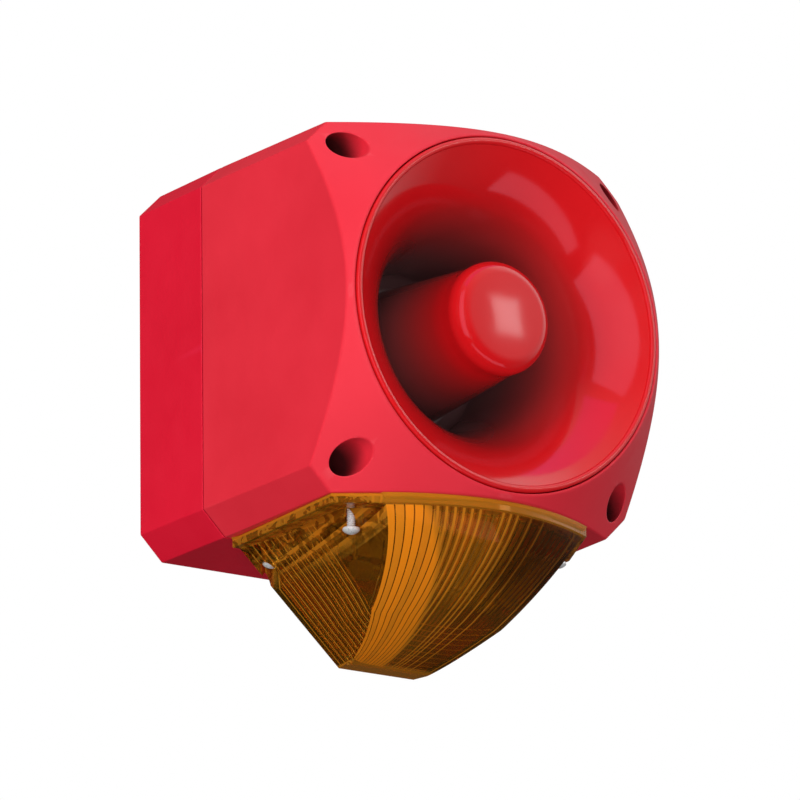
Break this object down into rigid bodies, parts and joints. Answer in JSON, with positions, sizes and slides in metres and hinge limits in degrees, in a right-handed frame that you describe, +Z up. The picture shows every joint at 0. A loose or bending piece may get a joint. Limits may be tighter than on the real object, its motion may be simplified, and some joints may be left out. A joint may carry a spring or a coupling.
{
  "type": "horn strobe",
  "caption": "Square wall-mounted fire alarm sounder with a re-entrant horn in its front, a drafted two-part case with chamfered corners, and a wedge-shaped amber flashing beacon below.",
  "frame": {"origin": "centre of the square back face that lies on the wall", "axes": "+Z up, +Y into the wall, the horn faces -Y, +X to the right seen from in front"},
  "size_m": [0.132, 0.1279, 0.1778],
  "materials": {
    "red_housing": "fine textured red moulding",
    "red_gloss": "polished red moulding",
    "amber_lens": "clear amber moulding with fine ribs",
    "seal_rubber": "black rubber",
    "screw_steel": "stainless steel",
    "brass": "machined brass",
    "circuit_board": "green solder mask on glass laminate",
    "terminal_green": "green terminal moulding",
    "black_plastic": "black moulding",
    "white_plastic": "white moulding",
    "cream_plastic": "cream connector moulding",
    "blue_plastic": "blue moulding",
    "plated_steel": "zinc plated steel",
    "ferrite": "dark ferrite ceramic",
    "film": "polymer film",
    "copper": "enamelled copper wire",
    "capacitor_sleeve": "shrunk plastic sleeve",
    "core_grey": "ferrite core",
    "winding_tape": "yellow insulating tape",
    "chip_black": "epoxy package",
    "tube_glass": "clear tube glass",
    "ribbon_grey": "grey flat cable"
  },
  "bodies": {
    "base": {"base_box": "red_housing", "cover_inserts": "brass", "housing_seal": "seal_rubber", "base_board": "circuit_board", "base_board_screws": "screw_steel", "terminal_block": "terminal_green", "terminal_clamps": "brass", "terminal_screws": "screw_steel", "link_socket": "black_plastic", "tone_switch": "blue_plastic", "volume_trimmer": "blue_plastic", "entry_plugs": "black_plastic", "plug_orings": "seal_rubber"},
    "front": {"front_housing": "red_housing", "horn_bell": "red_gloss", "bell_seal": "seal_rubber", "bell_screws": "screw_steel", "horn_bullet": "red_gloss", "bullet_screws": "screw_steel", "tone_tube": "black_plastic", "throat_gasket": "seal_rubber", "driver_screws": "screw_steel", "surround": "film", "top_plate": "plated_steel", "magnet": "ferrite", "pole_piece": "plated_steel", "main_board": "circuit_board", "main_board_screws": "screw_steel", "link_plug": "cream_plastic", "flash_capacitor": "capacitor_sleeve", "transformer_winding": "winding_tape", "transformer_core": "core_grey", "choke": "core_grey", "board_chips": "chip_black", "board_capacitors": "capacitor_sleeve", "beacon_reflector": "white_plastic", "flash_tube": "tube_glass", "tube_caps": "plated_steel", "beacon_board": "circuit_board", "beacon_screws": "screw_steel", "trigger_coil": "copper", "beacon_ribbon": "ribbon_grey", "lens": "amber_lens", "lens_seal": "seal_rubber", "lens_screws": "screw_steel", "screw_retainers": "seal_rubber"},
    "diaphragm_assembly": {"diaphragm": "film", "voice_coil": "copper"},
    "volume_rotor": {"volume_rotor": "white_plastic"},
    "tone_lever_1": {"tone_lever_1": "white_plastic"},
    "tone_lever_2": {"tone_lever_2": "white_plastic"},
    "tone_lever_3": {"tone_lever_3": "white_plastic"},
    "tone_lever_4": {"tone_lever_4": "white_plastic"},
    "tone_lever_5": {"tone_lever_5": "white_plastic"},
    "tone_lever_6": {"tone_lever_6": "white_plastic"},
    "cover_screw_1": {"cover_screw_1": "screw_steel"},
    "cover_screw_2": {"cover_screw_2": "screw_steel"},
    "cover_screw_3": {"cover_screw_3": "screw_steel"},
    "cover_screw_4": {"cover_screw_4": "screw_steel"}
  },
  "joints": [
    {"name": "cover_lift", "type": "slide", "parent": "base", "child": "front", "axis": [0, -1, 0], "range_m": [0, 0.08]},
    {"name": "cover_screw_1_turn", "type": "hinge", "parent": "front", "child": "cover_screw_1", "pos_m": [0.0545, -0.06, 0.0545], "axis": [0, -1, 0], "continuous": true},
    {"name": "cover_screw_2_turn", "type": "hinge", "parent": "front", "child": "cover_screw_2", "pos_m": [-0.0545, -0.06, 0.0545], "axis": [0, -1, 0], "continuous": true},
    {"name": "cover_screw_3_turn", "type": "hinge", "parent": "front", "child": "cover_screw_3", "pos_m": [-0.0545, -0.06, -0.0545], "axis": [0, -1, 0], "continuous": true},
    {"name": "cover_screw_4_turn", "type": "hinge", "parent": "front", "child": "cover_screw_4", "pos_m": [0.0545, -0.06, -0.0545], "axis": [0, -1, 0], "continuous": true},
    {"name": "diaphragm_stroke", "type": "slide", "parent": "front", "child": "diaphragm_assembly", "axis": [0, -1, 0], "range_m": [-0.0004, 0.0004], "stiffness_N_per_m": 1500},
    {"name": "volume_turn", "type": "hinge", "parent": "base", "child": "volume_rotor", "pos_m": [0.024, -0.0129, -0.017], "axis": [0, -1, 0], "range_deg": [-135, 135]},
    {"name": "tone_lever_1_slide", "type": "slide", "parent": "base", "child": "tone_lever_1", "axis": [0, 0, 1], "range_m": [0, 0.0016]},
    {"name": "tone_lever_2_slide", "type": "slide", "parent": "base", "child": "tone_lever_2", "axis": [0, 0, 1], "range_m": [0, 0.0016]},
    {"name": "tone_lever_3_slide", "type": "slide", "parent": "base", "child": "tone_lever_3", "axis": [0, 0, 1], "range_m": [0, 0.0016]},
    {"name": "tone_lever_4_slide", "type": "slide", "parent": "base", "child": "tone_lever_4", "axis": [0, 0, 1], "range_m": [0, 0.0016]},
    {"name": "tone_lever_5_slide", "type": "slide", "parent": "base", "child": "tone_lever_5", "axis": [0, 0, 1], "range_m": [0, 0.0016]},
    {"name": "tone_lever_6_slide", "type": "slide", "parent": "base", "child": "tone_lever_6", "axis": [0, 0, 1], "range_m": [0, 0.0016]}
  ]
}
